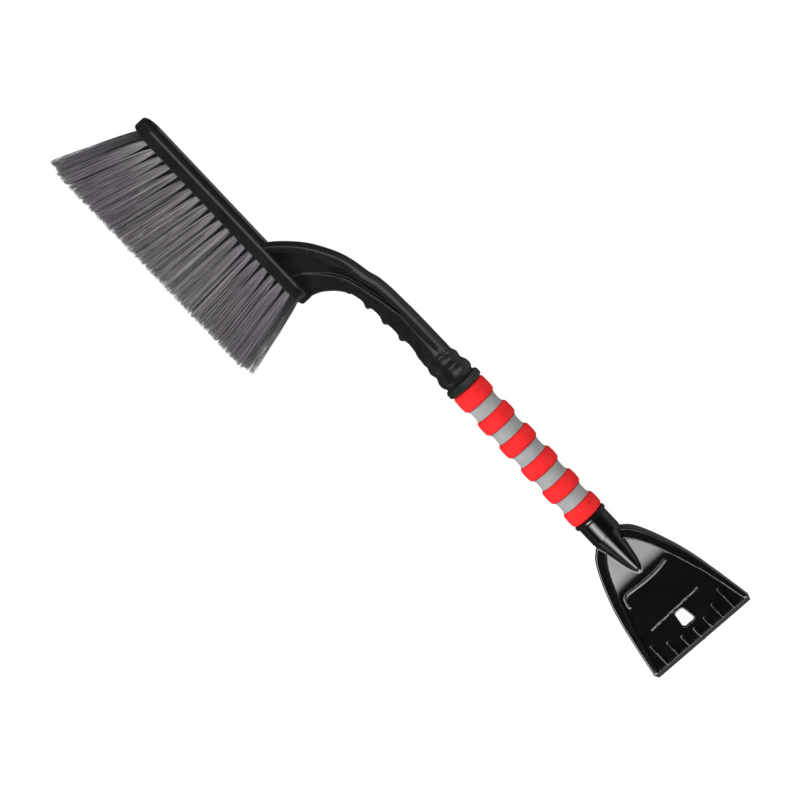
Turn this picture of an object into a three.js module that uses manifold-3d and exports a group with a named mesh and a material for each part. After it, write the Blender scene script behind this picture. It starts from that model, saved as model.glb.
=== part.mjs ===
// A snow brush and ice scraper in millimetres.
//
// The tool lies on its side: +X runs along the handle towards the scraper blade, the bristles point
// along -Y, and Z is the depth of the brush. Lengths along the handle (x) are counted from the middle
// of the foam grip, on the handle's axis, and the finished tool is moved so that its origin is at the
// bottom centre of its own box.
//
// The brush (arm, block and tufts) plugs into the handle's tube and pulls out along -X.

import * as THREE from 'three';
import { mergeVertices } from 'three/addons/utils/BufferGeometryUtils.js';
import Module from 'manifold-3d';

const wasm = await Module();
wasm.setup();

// ---------- driving dimensions ----------

const clearance = 0.3; // gap between two pieces that touch
const overlap = 1; // how far two solids of one piece run into each other
const overrun = 2; // how far a cutting solid runs past what it cuts
const roundSegments = 24; // sides of a turned piece

const tube = { outerR: 11, innerR: 9.8, start: -88, end: 104 };

const grip = {
  start: -80.5,
  redR: 17.3,
  redLength: 16.12,
  firstRedLength: 18.4,
  greyR: 15,
  greyWaistR: 14.2,
  greyLength: 12.4,
  edgeRound: 2.4,
  greyCount: 5,
};

const collar = { start: -89, end: -80.8, r: 18.25, shoulderR: 16.4, shoulderLength: 1, round: 2 };
const stopRing = { start: 80.8, end: 84.6, r: 17, round: 1 };

const arm = {
  shankR: 9.5,
  shankLength: 65, // how far the plug reaches into the tube
  shankChamfer: 2,
  neckR: 12.4,
  webHalfDepth: 6.5,
  railWidthR: 5.2, // top rail, half its height
  railHalfDepth: 12,
  ribWidthR: 1.3,
  ribHalfDepth: 8.6,
  pathSteps: 22,
  heelStepX: -241.6, // the heel steps up here, over the raised edge at the block's end
};

const block = {
  start: -453.3,
  end: -234.6,
  halfDepth: 18.5,
  faceY: -56.5, // the side that the bristles leave from
  backY: -44.5,
  edgeRound: 1.4,
  rimWidth: 3.5, // raised edge round the dished back
  dishDepth: 2,
};

const tufts = {
  columns: 22,
  rootStart: -447.1, // the row of tufts, from edge to edge at the block
  rootEnd: -240.8,
  tipStart: -480.8, // and at the tips, where it has fanned out
  tipEnd: -220.2,
  tipY: -135.5,
  outerRow: 13.5, // depth of the two outer rows
  innerRow: 4.5, // depth of the two inner rows, half a pitch further along
  halfDepth: 17.5,
  endHalfDepth: 10,
  legR: 2,
  holeR: 2.4,
  holeDepth: 7,
  legDepth: 6.4,
  mergedAt: 2, // the legs have become one fan this far from the block's face
  gap: 0.4, // between neighbouring fans
  sides: 6,
};
const tuftPitch = (tufts.rootEnd - tufts.rootStart - 2 * tufts.holeR) / (tufts.columns - 1);

const scraper = {
  socketStart: 84.9,
  bladeEdge: 236.6,
  bevelStart: 231.5,
  edgeHalfDepth: 0.8,
  rimHalfDepth: 7.5, // at the socket
  rimHalfDepthAtBevel: 4.2,
  floorHalfDepth: 1.6,
  floorSlopeEnd: 150, // towards the socket from here the floor rises to meet it
  floorSlope: 0.12,
  rimWidth: 11,
  cornerRimWidth: 4.5,
  windowStart: 200.8,
  windowEnd: 216.1,
  windowHalfWidthNear: 5,
  windowHalfWidthFar: 6.5,
  ribCount: 7,
  ribSpacing: 13.5,
  ribHalfWidth: 0.8,
  ribArchX: 222.3, // the middle rib starts here
  ribArchDepth: 13, // and the outer ones this much nearer to the socket
  ribEnd: 232,
  ribTop: 3.6,
  lipR: 1.1,
  lipSteps: 12,
};
const ringBoreR = tube.outerR + clearance; // of every piece that sits on the tube

// ---------- materials ----------

const blackPlastic = { color: 0x17171a, roughness: 0.42, metalness: 0 };
const glossBlackPlastic = { color: 0x121214, roughness: 0.22, metalness: 0 };
const collarRubber = { color: 0x1a1f1c, roughness: 0.6, metalness: 0 };
const redFoam = { color: 0xf4323a, roughness: 0.85, metalness: 0 };
const greyFoam = { color: 0xa3a6a8, roughness: 0.9, metalness: 0 };
const tubeMetal = { color: 0xb9bcc0, roughness: 0.35, metalness: 0.9 };
const bristle = { color: 0x8c878c, roughness: 0.7, metalness: 0 };

// ---------- helpers ----------

function solid(geometry) {
  geometry.deleteAttribute('normal');
  geometry.deleteAttribute('uv');
  const merged = mergeVertices(geometry, 1e-4);
  return new wasm.Manifold(new wasm.Mesh({
    numProp: 3,
    vertProperties: new Float32Array(merged.attributes.position.array),
    triVerts: new Uint32Array(merged.index.array),
  }));
}

function geometryOf(shape) {
  const mesh = shape.getMesh();
  const geometry = new THREE.BufferGeometry();
  geometry.setAttribute('position', new THREE.BufferAttribute(mesh.vertProperties, 3));
  geometry.setIndex(new THREE.BufferAttribute(mesh.triVerts, 1));
  geometry.computeVertexNormals();
  return geometry;
}

function piece(name, geometry, finish) {
  const mesh = new THREE.Mesh(geometry, new THREE.MeshStandardMaterial(finish));
  mesh.name = name;
  return mesh;
}

// A turned piece about the handle's axis. Each point is [x, radius].
function turned(points) {
  const profile = points.map(([x, r]) => new THREE.Vector2(r, x));
  return new THREE.LatheGeometry(profile, roundSegments).rotateZ(-Math.PI / 2);
}

// A turned ring with a bore: the outer points are closed through the bore.
function turnedRing(outer, boreR) {
  const [firstX] = outer[0];
  const [lastX] = outer[outer.length - 1];
  return turned([[firstX, boreR], ...outer, [lastX, boreR], [firstX, boreR]]);
}

// The outer points of a ring whose two edges are rounded.
function roundedEdges(start, end, r, round) {
  const diagonal = round * (1 - Math.SQRT1_2);
  return [
    [start, r - round],
    [start + diagonal, r - diagonal],
    [start + round, r],
    [end - round, r],
    [end - diagonal, r - diagonal],
    [end, r - round],
  ];
}

// A flat outline in the XY plane, given thickness either side of z = 0.
function slab(outline, halfDepth, bevel = 0) {
  const geometry = new THREE.ExtrudeGeometry(outline, {
    depth: 2 * (halfDepth - bevel),
    bevelEnabled: bevel > 0,
    bevelThickness: bevel,
    bevelSize: bevel,
    bevelOffset: -bevel,
    bevelSegments: 1,
    curveSegments: 4,
  });
  return geometry.translate(0, 0, bevel - halfDepth);
}

function vectors(points) {
  return points.map(([x, y]) => new THREE.Vector2(x, y));
}

// A bar of oval section that follows a flat curve: halfHeight in the XY plane, halfDepth along Z.
function sweptBar(points, halfHeight, halfDepth, steps) {
  const path = new THREE.CatmullRomCurve3(points.map(([x, y]) => new THREE.Vector3(x, y, 0)));
  const oval = new THREE.Shape().absellipse(0, 0, halfDepth, halfHeight, 0, 2 * Math.PI);
  return new THREE.ExtrudeGeometry(oval, { steps, extrudePath: path, curveSegments: 8 });
}

// ---------- handle ----------

function handleTube() {
  const outer = [[tube.start, tube.outerR], [tube.end, tube.outerR]];
  return piece('handle_tube', turnedRing(outer, tube.innerR), tubeMetal);
}

function redRing(number, start, length) {
  const outer = roundedEdges(0, length - clearance, grip.redR, grip.edgeRound);
  const ring = piece(`grip_red_${number}`, turnedRing(outer, ringBoreR), redFoam);
  ring.position.x = start;
  return ring;
}

function greyRing(number, start) {
  const length = grip.greyLength - clearance;
  const outer = [
    [0, grip.greyR],
    [length * 0.25, grip.greyWaistR],
    [length * 0.75, grip.greyWaistR],
    [length, grip.greyR],
  ];
  const ring = piece(`grip_grey_${number}`, turnedRing(outer, ringBoreR), greyFoam);
  ring.position.x = start;
  return ring;
}

function gripRings() {
  const rings = [redRing(1, grip.start, grip.firstRedLength)];
  let x = grip.start + grip.firstRedLength;
  for (let i = 1; i <= grip.greyCount; i += 1) {
    rings.push(greyRing(i, x));
    x += grip.greyLength;
    rings.push(redRing(i + 1, x, grip.redLength));
    x += grip.redLength;
  }
  return rings;
}

function collarRing() {
  const outer = [
    [collar.start, collar.shoulderR],
    ...roundedEdges(collar.start + collar.shoulderLength, collar.end, collar.r, collar.round),
  ];
  return piece('collar_ring', turnedRing(outer, ringBoreR), collarRubber);
}

function gripStopRing() {
  const outer = roundedEdges(stopRing.start, stopRing.end, stopRing.r, stopRing.round);
  return piece('grip_stop_ring', turnedRing(outer, ringBoreR), glossBlackPlastic);
}

// ---------- scraper head ----------

// Half the blade, from the socket to the corner, as [x, half width].
const bladeSide = [[106.6, 14], [115.8, 23.6], [136.9, 34], [164.5, 43.6], [194.6, 50.4], [231.5, 57.2]];
const bladeCorner = [scraper.bladeEdge, 56];

function bladeOutline() {
  const upper = bladeSide;
  const lower = bladeSide.map(([x, y]) => [x, -y]).reverse();
  const outline = new THREE.Shape();
  outline.moveTo(...upper[0]);
  outline.splineThru(vectors(upper.slice(1)));
  outline.lineTo(...bladeCorner);
  outline.lineTo(bladeCorner[0], -bladeCorner[1]);
  outline.lineTo(...lower[0]);
  outline.splineThru(vectors(lower.slice(1)));
  return outline;
}

// The hollow inside the raised rim: it follows the blade's side, and the rim narrows to the corner.
function dishOutline() {
  const firstX = bladeSide[1][0];
  const lastX = bladeSide[bladeSide.length - 1][0];
  const inner = bladeSide.slice(1).map(([x, y]) => {
    const t = (x - firstX) / (lastX - firstX);
    return [x, y - THREE.MathUtils.lerp(scraper.rimWidth, scraper.cornerRimWidth, t)];
  });
  const mirrored = inner.map(([x, y]) => [x, -y]).reverse();
  const outline = new THREE.Shape();
  outline.moveTo(...inner[0]);
  outline.splineThru(vectors(inner.slice(1)));
  outline.lineTo(...mirrored[0]);
  outline.splineThru(vectors(mirrored.slice(1)));
  return outline;
}

function windowOutline() {
  return new THREE.Shape(vectors([
    [scraper.windowStart, -scraper.windowHalfWidthNear],
    [scraper.windowEnd, -scraper.windowHalfWidthFar],
    [scraper.windowEnd, scraper.windowHalfWidthFar],
    [scraper.windowStart, scraper.windowHalfWidthNear],
  ]));
}

// The ice ribs end on an arch: the outer ones are the longest.
function ribStart(y) {
  const reach = scraper.ribSpacing * (scraper.ribCount - 1) / 2;
  return scraper.ribArchX - scraper.ribArchDepth * (y / reach) ** 2;
}

function iceRib(y) {
  const start = ribStart(y);
  return new THREE.BoxGeometry(scraper.ribEnd - start, 2 * scraper.ribHalfWidth, scraper.ribTop)
    .translate((start + scraper.ribEnd) / 2, y, scraper.ribTop / 2);
}

// A solid that spans the blade's width and is as thick as its upper edge, [x, half depth], says.
function throughBlade(upperEdge) {
  const lowerEdge = upperEdge.map(([x, z]) => [x, -z]).reverse();
  const width = 2 * (bladeSide[bladeSide.length - 1][1] + overrun);
  const profile = new THREE.Shape(vectors([...upperEdge, ...lowerEdge]));
  return new THREE.ExtrudeGeometry(profile, { depth: width, bevelEnabled: false })
    .rotateX(Math.PI / 2)
    .translate(0, width / 2, 0);
}

function scraperHead() {
  const spine = turned([
    [scraper.socketStart, 0],
    [scraper.socketStart, 15.6],
    [104.5, 15],
    [118.9, 11.2],
    [136.3, 7.3],
    [145.5, 4.5],
    [149.2, 2.4],
    [150.6, 0],
  ]);
  const bore = turned([
    [scraper.socketStart - overrun, 0],
    [scraper.socketStart - overrun, ringBoreR],
    [tube.end + clearance, ringBoreR],
    [tube.end + clearance, 0],
  ]);
  const raisedLip = sweptBar(
    [[158.1, 22], [160.2, -4.7], [158.4, -24], [161.9, -28.5], [167.5, -30.5]],
    scraper.lipR,
    scraper.lipR,
    scraper.lipSteps,
  );
  const start = bladeSide[0][0] - overrun;
  const plate = throughBlade([
    [start, scraper.rimHalfDepth],
    [scraper.bevelStart, scraper.rimHalfDepthAtBevel],
    [scraper.bladeEdge, scraper.edgeHalfDepth],
  ]);
  const floor = throughBlade([
    [start, scraper.floorHalfDepth + scraper.floorSlope * (scraper.floorSlopeEnd - start)],
    [scraper.floorSlopeEnd, scraper.floorHalfDepth],
    [scraper.bladeEdge, scraper.floorHalfDepth],
  ]);
  const tallest = scraper.rimHalfDepth + overrun;
  const dish = solid(slab(dishOutline(), tallest)).subtract(solid(floor));

  let head = solid(slab(bladeOutline(), tallest)).intersect(solid(plate)).subtract(dish);
  for (let i = 0; i < scraper.ribCount; i += 1) {
    const y = (i - (scraper.ribCount - 1) / 2) * scraper.ribSpacing;
    head = head.add(solid(iceRib(y)));
  }
  head = head.add(solid(raisedLip.translate(0, 0, scraper.floorHalfDepth)));
  head = head.subtract(solid(slab(windowOutline(), tallest)));
  head = head.add(solid(spine)).subtract(solid(bore));
  return piece('scraper_head', geometryOf(head), glossBlackPlastic);
}

// ---------- brush arm ----------

const footY = block.backY - block.dishDepth + clearance; // the arm's foot stands in the block's dish

// Top edge of the arm, from the round neck to the block.
const armTop = [[-157, 12.2], [-180, 11.4], [-200, 9.1], [-219, 4.8], [-238, 0.6], [-255, -6.2],
  [-272, -16.5], [-287, -30.7], [-297.5, footY]];
// Lower edge, back from the block to the neck, with a bump between each pair of fingers.
const armUnderside = [[-233, -39.6], [-225.5, -29.1], [-212.5, -19.4], [-200, -15.9], [-193, -16.6],
  [-179, -13.5], [-171, -14.4], [-157, -11.8], [-149.5, -13.5], [-134, -12.7]];
const armRail = [[-150, 3], [-180, 4.6], [-219, -1], [-255, -12], [-276, -29], [-289, footY]];
const armRib = [[-160, 0.3], [-185.5, -3.8], [-216, -10.6], [-239.5, -24], [-252, footY]];

function armOutline() {
  const outline = new THREE.Shape();
  outline.moveTo(-128, 12.3);
  outline.lineTo(...armTop[0]);
  outline.splineThru(vectors(armTop.slice(1)));
  outline.lineTo(-235.5, footY);
  outline.splineThru(vectors(armUnderside));
  outline.lineTo(-128, -12.5);
  return outline;
}

// The round neck: two large bulges and a small one, ending in the plug that enters the tube.
function neckProfile() {
  const shoulder = collar.start - clearance;
  const plugEnd = shoulder + arm.shankLength;
  return [
    [-172, 0],
    [-168, 7],
    [-158, arm.neckR],
    [-127, arm.neckR],
    [-122, 13.7],
    [-117, 13.4],
    [-112, 15.8],
    [-104, 14.8],
    [-99.5, 16.8],
    [-94, 17],
    [-90.5, 15],
    [shoulder, 15],
    [shoulder, arm.shankR],
    [plugEnd - arm.shankChamfer, arm.shankR],
    [plugEnd, arm.shankR - arm.shankChamfer],
    [plugEnd, 0],
  ];
}

function brushArm() {
  const web = solid(slab(armOutline(), arm.webHalfDepth, 1));
  const rail = solid(sweptBar(armRail, arm.railWidthR, arm.railHalfDepth, arm.pathSteps));
  const rib = solid(sweptBar(armRib, arm.ribWidthR, arm.ribHalfDepth, arm.pathSteps));
  const neck = solid(turned(neckProfile()));
  // The foot is cut off flat where it stands in the dish, and its heel a step higher.
  const cutter = { x: 120, y: 40, z: 60 };
  const underFoot = solid(new THREE.BoxGeometry(cutter.x, cutter.y, cutter.z)
    .translate(arm.heelStepX + overrun - cutter.x / 2, footY - cutter.y / 2, 0));
  const underHeel = solid(new THREE.BoxGeometry(cutter.x, cutter.y, cutter.z)
    .translate(arm.heelStepX + cutter.x / 2, block.backY + clearance - cutter.y / 2, 0));
  const whole = web.add(rail).add(rib).add(neck).subtract(underFoot).subtract(underHeel);
  return piece('brush_arm', geometryOf(whole), blackPlastic);
}

// ---------- brush block and tufts ----------

function tipOf(rootX) {
  return THREE.MathUtils.mapLinear(rootX, tufts.rootStart, tufts.rootEnd, tufts.tipStart, tufts.tipEnd);
}

const bristleLength = block.faceY - tufts.tipY;

function leanAt(rootX) {
  return Math.atan2(tipOf(rootX) - rootX, bristleLength);
}

function isEnd(column) {
  return column === 0 || column === tufts.columns - 1;
}

// Where the tufts of one column stand, as [x, depth]. The block's round ends leave room for one there.
function tuftRoots(column) {
  const x = tufts.rootStart + tufts.holeR + column * tuftPitch;
  const roots = isEnd(column) ? [[x, 0]] : [[x, -tufts.outerRow], [x, tufts.outerRow]];
  if (column < tufts.columns - 1) {
    const between = x + tuftPitch / 2;
    roots.push([between, -tufts.innerRow], [between, tufts.innerRow]);
  }
  return roots;
}

// A round leg or hole that starts at the block's face and goes into the block, leaning with its tuft.
// It also reaches outwards from the face, by the length given as outside.
function leaningPeg(radius, inside, outside, lean) {
  return new THREE.CylinderGeometry(radius, radius, inside + outside, tufts.sides)
    .translate(0, (inside - outside) / 2, 0)
    .rotateZ(lean);
}

function stadium(length, halfWidth) {
  const straight = length / 2 - halfWidth;
  const outline = new THREE.Shape();
  outline.moveTo(-straight, -halfWidth);
  outline.lineTo(straight, -halfWidth);
  outline.absarc(straight, 0, halfWidth, -Math.PI / 2, Math.PI / 2);
  outline.lineTo(-straight, halfWidth);
  outline.absarc(-straight, 0, halfWidth, Math.PI / 2, 1.5 * Math.PI);
  return outline;
}

// The block's own frame has its origin in the middle of the face that the bristles leave.
function brushBlock() {
  const length = block.end - block.start;
  const centreX = (block.end + block.start) / 2;
  const thickness = block.backY - block.faceY;
  const body = slab(stadium(length, block.halfDepth), thickness / 2, block.edgeRound)
    .rotateX(-Math.PI / 2)
    .translate(0, thickness / 2, 0);
  const dish = slab(stadium(length - 2 * block.rimWidth, block.halfDepth - block.rimWidth), block.dishDepth)
    .rotateX(-Math.PI / 2)
    .translate(0, thickness, 0);
  let shape = solid(body).subtract(solid(dish));
  for (let column = 0; column < tufts.columns; column += 1) {
    for (const [x, depth] of tuftRoots(column)) {
      const hole = leaningPeg(tufts.holeR, tufts.holeDepth, overrun, leanAt(x));
      shape = shape.subtract(solid(hole.translate(x - centreX, 0, depth)));
    }
  }
  const mesh = piece('brush_block', geometryOf(shape), blackPlastic);
  mesh.position.set(centreX, block.faceY, 0);
  return mesh;
}

// One column of tufts: a leg in the block for each tuft, whose bristles spread into one fan.
// Its own frame has its origin on the block's face, at the column's edge.
function tuft(column) {
  const left = tufts.rootStart + column * tuftPitch;
  const right = Math.min(left + tuftPitch, tufts.rootEnd);
  const merged = tufts.mergedAt / bristleLength;
  const across = (x, share) => THREE.MathUtils.lerp(x, tipOf(x), share) - left;
  const fan = new THREE.Shape(vectors([
    [across(left, merged) + tufts.gap / 2, -tufts.mergedAt],
    [across(left, 1) + tufts.gap / 2, -bristleLength],
    [across(right, 1) - tufts.gap / 2, -bristleLength],
    [across(right, merged) - tufts.gap / 2, -tufts.mergedAt],
  ]));
  let shape = solid(slab(fan, isEnd(column) ? tufts.endHalfDepth : tufts.halfDepth));
  for (const [x, depth] of tuftRoots(column)) {
    const leg = leaningPeg(tufts.legR, tufts.legDepth, tufts.mergedAt + overlap, leanAt(x));
    shape = shape.add(solid(leg.translate(x - left, 0, depth)));
  }
  const number = String(column + 1).padStart(2, '0');
  const mesh = piece(`tuft_${number}`, geometryOf(shape), bristle);
  mesh.position.set(left, block.faceY, 0);
  return mesh;
}

// ---------- assembly ----------

const handle = new THREE.Group();
handle.add(handleTube(), ...gripRings(), collarRing(), gripStopRing(), scraperHead());

const brush = new THREE.Group();
brush.add(brushArm(), brushBlock());
for (let column = 0; column < tufts.columns; column += 1) {
  brush.add(tuft(column));
}

const tool = new THREE.Group();
tool.add(handle, brush);
tool.updateMatrixWorld(true);
const box = new THREE.Box3().setFromObject(tool, true);
tool.position.set(-(box.min.x + box.max.x) / 2, -(box.min.y + box.max.y) / 2, -box.min.z);

export default tool;
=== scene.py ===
"""Looks for a snow brush with ice scraper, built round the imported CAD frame.

Shapes are worked out in tool coordinates: millimetres on the handle's axis, x along the handle
towards the scraper blade from the middle of the foam grip, y away from the bristles, z upwards.
The moulded plastic pieces are smooth blends of simple solids: each is a field, negative inside,
that surface() turns into a mesh.
"""

import math

import bpy
import numpy as np
from mathutils import Matrix, Vector

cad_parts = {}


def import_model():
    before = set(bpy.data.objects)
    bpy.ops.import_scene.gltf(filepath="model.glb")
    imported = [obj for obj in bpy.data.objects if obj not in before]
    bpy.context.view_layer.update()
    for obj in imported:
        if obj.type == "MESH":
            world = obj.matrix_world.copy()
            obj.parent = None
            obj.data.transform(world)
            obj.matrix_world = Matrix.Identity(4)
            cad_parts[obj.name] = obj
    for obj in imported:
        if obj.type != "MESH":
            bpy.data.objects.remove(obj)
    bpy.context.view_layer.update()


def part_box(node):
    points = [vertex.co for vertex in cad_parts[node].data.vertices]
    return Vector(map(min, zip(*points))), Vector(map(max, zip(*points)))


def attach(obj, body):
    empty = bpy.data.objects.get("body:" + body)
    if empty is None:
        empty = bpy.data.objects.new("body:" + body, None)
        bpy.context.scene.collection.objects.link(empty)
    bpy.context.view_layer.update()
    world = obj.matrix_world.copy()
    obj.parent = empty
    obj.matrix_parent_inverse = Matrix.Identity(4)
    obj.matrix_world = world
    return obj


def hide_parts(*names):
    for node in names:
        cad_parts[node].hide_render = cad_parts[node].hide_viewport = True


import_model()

MM = 0.001
CLEARANCE = 0.3  # the CAD's gap between two pieces that touch
RED_RINGS = 6


# ---------- places from the frame ----------

first_ring_low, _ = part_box("grip_red_1")
_, last_ring_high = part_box(f"grip_red_{RED_RINGS}")
tube_low, tube_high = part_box("handle_tube")
ORIGIN = np.array([
    (first_ring_low.x + last_ring_high.x + CLEARANCE * MM) / 2,
    (tube_low.y + tube_high.y) / 2,
    (tube_low.z + tube_high.z) / 2,
])


def tool_box(node):
    """A CAD node's lowest and highest corners in tool coordinates."""
    low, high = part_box(node)
    return (np.array(low) - ORIGIN) / MM, (np.array(high) - ORIGIN) / MM


BLOCK_LOW, BLOCK_HIGH = tool_box("brush_block")
ARM_LOW, ARM_HIGH = tool_box("brush_arm")
HEAD_LOW, HEAD_HIGH = tool_box("scraper_head")
COLLAR_LOW, COLLAR_HIGH = tool_box("collar_ring")
TUBE_LOW, TUBE_HIGH = tool_box("handle_tube")
TUBE_R = TUBE_HIGH[2]
TUBE_WALL = 1.2
BORE_R = TUBE_R + CLEARANCE
DISH_DEPTH = 2.0  # of the dish in the block's back, at its edge; the arm's foot stands in it


# ---------- curves and fields ----------

def curve(points, steps=8):
    """A smooth (Catmull-Rom) line through the points."""
    p = np.array(points, float)
    p = np.vstack([2 * p[0] - p[1], p, 2 * p[-1] - p[-2]])
    t = np.linspace(0, 1, steps, endpoint=False)[:, None]
    spans = []
    for a, b, c, d in zip(p, p[1:], p[2:], p[3:]):
        spans.append(0.5 * (2 * b + (c - a) * t + (2 * a - 5 * b + 4 * c - d) * t**2
                            + (3 * b - a - 3 * c + d) * t**3))
    return np.vstack(spans + [p[-2:-1]])


def mirrored(side):
    """A closed outline from its upper half, mirrored about the x axis."""
    return np.vstack([side, side[::-1] * [1, -1]])


def line_distance(x, y, points):
    """Distance to an open line of points."""
    nearest = np.full(np.broadcast(x, y).shape, np.inf)
    for (ax, ay), (bx, by) in zip(points, points[1:]):
        ex, ey = bx - ax, by - ay
        t = np.clip(((x - ax) * ex + (y - ay) * ey) / (ex * ex + ey * ey), 0, 1)
        nearest = np.minimum(nearest, (x - ax - ex * t) ** 2 + (y - ay - ey * t) ** 2)
    return np.sqrt(nearest)


def outline_distance(x, y, corners):
    """Signed distance to a closed outline, negative inside."""
    inside = np.zeros(np.broadcast(x, y).shape, bool)
    closed = np.vstack([corners, corners[:1]])
    for (ax, ay), (bx, by) in zip(closed, closed[1:]):
        if ay != by:
            inside ^= ((ay > y) != (by > y)) & (x < ax + (bx - ax) * (y - ay) / (by - ay))
    return np.where(inside, -1, 1) * line_distance(x, y, closed)


def join(a, b, blend):
    """Both solids, with a fillet of about the blend length between them."""
    h = np.clip(0.5 + 0.5 * (b - a) / blend, 0, 1)
    return b * (1 - h) + a * h - blend * h * (1 - h)


def carve(a, b, blend):
    """Solid a without solid b, with a softened edge."""
    return -join(-a, b, blend)


def thick(outline, z, half_depth, rounding):
    """An outline given thickness along z, with rounded edges."""
    a = outline + rounding
    b = np.abs(z) - half_depth + rounding
    return np.minimum(np.maximum(a, b), 0) + np.hypot(np.maximum(a, 0), np.maximum(b, 0)) - rounding


def turned(x, rho, stations):
    """A solid of revolution whose radius is a smooth line through [x, radius] stations."""
    line = curve(stations)
    radius = np.interp(x, line[:, 0], line[:, 1])
    slope = np.interp(x, line[:, 0], np.gradient(line[:, 1], line[:, 0]))
    return (rho - radius) / np.sqrt(1 + slope**2)


def smoothstep(low, high, x):
    t = np.clip((x - low) / (high - low), 0, 1)
    return t * t * (3 - 2 * t)


# ---------- from fields and profiles to meshes ----------

def surface(field, low, high, step):
    """Vertices and quads of the surface where the field is zero (surface nets)."""
    low = np.array(low, float) - 2 * step
    counts = (np.ceil((np.array(high) + 2 * step - low) / step)).astype(int) + 1
    axes = [low[i] + step * np.arange(counts[i]) for i in range(3)]
    values = field(axes[0][:, None, None], axes[1][None, :, None], axes[2][None, None, :])
    values = np.ascontiguousarray(np.broadcast_to(values, counts))
    cells = tuple(counts - 1)
    total, hits, crossings = np.zeros(cells + (3,)), np.zeros(cells), []
    for axis in range(3):
        b, c = (axis + 1) % 3, (axis + 2) % 3
        near = np.take(values, range(counts[axis] - 1), axis)
        far = np.take(values, range(1, counts[axis]), axis)
        crossed = (near < 0) != (far < 0)
        share = np.where(crossed, near / np.where(crossed, near - far, 1), 0)
        crossings.append((crossed, near < 0))
        for on_b in (0, 1):
            for on_c in (0, 1):
                part = [slice(None)] * 3
                part[b] = slice(on_b, on_b + cells[b])
                part[c] = slice(on_c, on_c + cells[c])
                hit = crossed[tuple(part)]
                total[..., axis] += share[tuple(part)]
                total[..., b] += hit * on_b
                total[..., c] += hit * on_c
                hits += hit
    used = hits > 0
    number = np.full(cells, -1)
    number[used] = np.arange(used.sum())
    points = (np.argwhere(used) + total[used] / hits[used][:, None]) * step + low
    quads = []
    for axis, (crossed, outward) in enumerate(crossings):
        b, c = (axis + 1) % 3, (axis + 2) % 3
        at = np.argwhere(crossed)
        corners = []
        for back_b, back_c in ((1, 1), (0, 1), (0, 0), (1, 0)):
            cell = at.copy()
            cell[:, b] -= back_b
            cell[:, c] -= back_c
            corners.append(number[tuple(cell.T)])
        quad = np.stack(corners, 1)
        flip = ~outward[tuple(at.T)]
        quad[flip] = quad[flip][:, ::-1]
        quads.append(quad)
    return settle(points, field, step), np.vstack(quads)


def settle(points, field, step):
    """Moves the points onto the field's zero surface."""
    probe = step * 0.25
    for _ in range(2):
        x, y, z = points.T
        value = field(x, y, z)
        slope = np.stack([
            field(x + probe, y, z) - field(x - probe, y, z),
            field(x, y + probe, z) - field(x, y - probe, z),
            field(x, y, z + probe) - field(x, y, z - probe),
        ], 1) / (2 * probe)
        move = -slope * (value / np.maximum((slope**2).sum(1), 0.05))[:, None]
        length = np.linalg.norm(move, axis=1, keepdims=True)
        points = points + move * np.minimum(1, 0.5 * step / np.maximum(length, 1e-9))
    return points


def revolve(profile, segments=128):
    """Vertices and quads of a closed [x, radius] profile turned about the handle's axis."""
    profile = np.array(profile, float)
    angle = np.linspace(0, 2 * math.pi, segments, endpoint=False)
    x = np.repeat(profile[:, :1], segments, 1)
    y = profile[:, 1:] * np.cos(angle)
    z = profile[:, 1:] * np.sin(angle)
    points = np.stack([x, y, z], -1).reshape(-1, 3)
    row = np.arange(len(profile))[:, None]
    col = np.arange(segments)[None, :]
    next_row, next_col = (row + 1) % len(profile), (col + 1) % segments
    quads = np.stack([
        row * segments + col,
        row * segments + next_col,
        next_row * segments + next_col,
        next_row * segments + col,
    ], -1).reshape(-1, 4)
    return points, quads


def piece(name, points, quads, material, body, nodes):
    """A shaded mesh that rides on a body and stands for CAD nodes."""
    mesh = bpy.data.meshes.new(name)
    mesh.vertices.add(len(points))
    mesh.vertices.foreach_set("co", (points * MM + ORIGIN).astype(np.float32).ravel())
    mesh.loops.add(quads.size)
    mesh.loops.foreach_set("vertex_index", quads.astype(np.int32).ravel())
    mesh.polygons.add(len(quads))
    mesh.polygons.foreach_set("loop_start", np.arange(0, quads.size, 4, dtype=np.int32))
    mesh.update(calc_edges=True)
    mesh.validate()
    mesh.shade_smooth()
    mesh.materials.append(material)
    obj = bpy.data.objects.new(name, mesh)
    bpy.context.scene.collection.objects.link(obj)
    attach(obj, body)
    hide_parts(*nodes)
    return obj


# ---------- materials ----------

def new_material(name, slot):
    material = bpy.data.materials.new(name)
    material.use_nodes = True
    material["slot"] = slot
    nodes = material.node_tree.nodes
    return material, nodes, material.node_tree.links, nodes["Principled BSDF"]


def noise(nodes, links, coords, scale, detail=3.0, roughness=0.5):
    node = nodes.new("ShaderNodeTexNoise")
    node.inputs["Scale"].default_value = scale
    node.inputs["Detail"].default_value = detail
    node.inputs["Roughness"].default_value = roughness
    links.new(coords, node.inputs["Vector"])
    return node.outputs["Fac"]


def ramp(nodes, links, value, *stops):
    """A colour ramp. Each stop is (position, (r, g, b))."""
    node = nodes.new("ShaderNodeValToRGB")
    elements = node.color_ramp.elements
    while len(elements) < len(stops):
        elements.new(0.5)
    for element, (position, colour) in zip(elements, stops):
        element.position = position
        element.color = (*colour, 1)
    links.new(value, node.inputs["Fac"])
    return node.outputs["Color"]


def spread(nodes, links, value, low, high):
    """Maps a 0 to 1 value onto low to high."""
    node = nodes.new("ShaderNodeMapRange")
    node.inputs["To Min"].default_value = low
    node.inputs["To Max"].default_value = high
    links.new(value, node.inputs["Value"])
    return node.outputs["Result"]


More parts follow.
